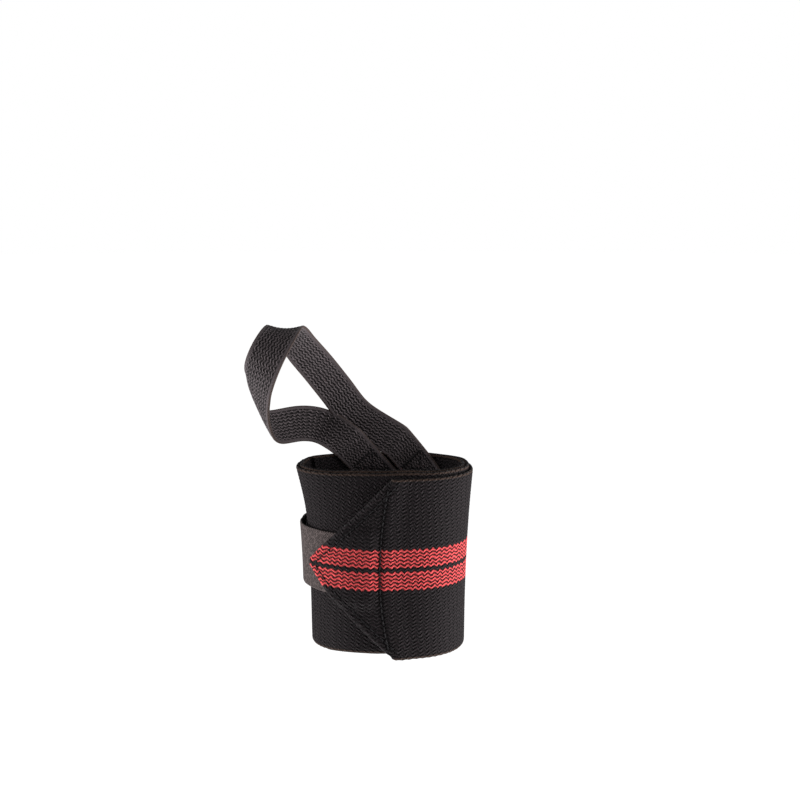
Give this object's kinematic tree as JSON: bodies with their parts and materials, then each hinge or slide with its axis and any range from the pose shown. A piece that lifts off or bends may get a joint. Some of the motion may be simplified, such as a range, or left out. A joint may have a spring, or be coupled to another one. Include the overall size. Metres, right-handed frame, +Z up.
{
  "type": "wrist wrap",
  "caption": "Knitted elastic wrist wrap, wound round a wrist and closed by a hook tab sewn under its pointed end, with a thumb strap sewn inside its other end.",
  "frame": {"origin": "centre of the wrist hollow, halfway up the band", "axes": "+Z up the forearm towards the fingers, -Y the palm side, -X the thumb side"},
  "size_m": [0.096, 0.0601, 0.1372],
  "materials": {
    "band_elastic": "ribbed black knitted elastic with two red stripes along its middle",
    "hook_tape": "woven grey hook tape",
    "loop_pile": "matte black brushed loop pile",
    "strap_elastic": "dark grey ribbed elastic"
  },
  "bodies": {
    "root": {"wrap_band": "band_elastic", "hook_tab": "hook_tape", "loop_patch": "loop_pile", "thumb_strap": "strap_elastic"}
  },
  "joints": []
}
